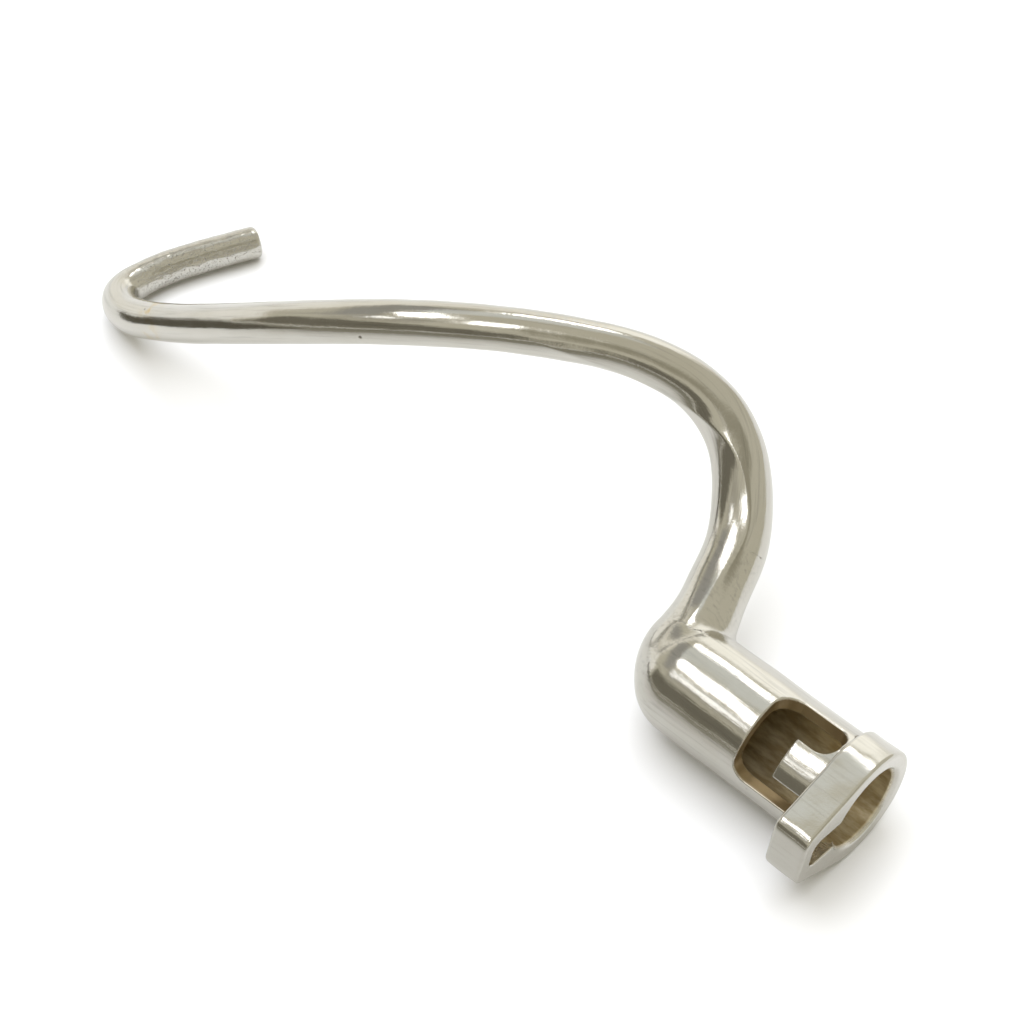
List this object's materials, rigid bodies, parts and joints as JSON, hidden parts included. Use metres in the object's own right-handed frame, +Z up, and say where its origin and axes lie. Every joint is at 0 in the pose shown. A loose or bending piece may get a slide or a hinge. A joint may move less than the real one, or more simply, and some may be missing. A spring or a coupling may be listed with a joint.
{
  "type": "mixer dough hook",
  "caption": "Spiral dough hook: tapering bent bar grown from a domed socket with a shaft bore, a bayonet window and a keyed collar.",
  "frame": {"origin": "middle of the socket's mouth, on the axis of the shaft bore", "axes": "+X along the shaft bore and out of its mouth, +Z up as the hook lies on a table on its collar and its tip"},
  "size_m": [0.3195, 0.0938, 0.0795],
  "materials": {
    "polished_metal": "hand-polished cast metal, bright with fine wear and small pits",
    "machined_metal": "satin, ground faces with softened edges",
    "braze_metal": "dull, uneven braze residue"
  },
  "bodies": {
    "root": {"hook_arm": "polished_metal", "socket_end": "polished_metal", "sleeve": "polished_metal", "collar": "machined_metal", "collar_bead": "braze_metal"}
  },
  "joints": []
}
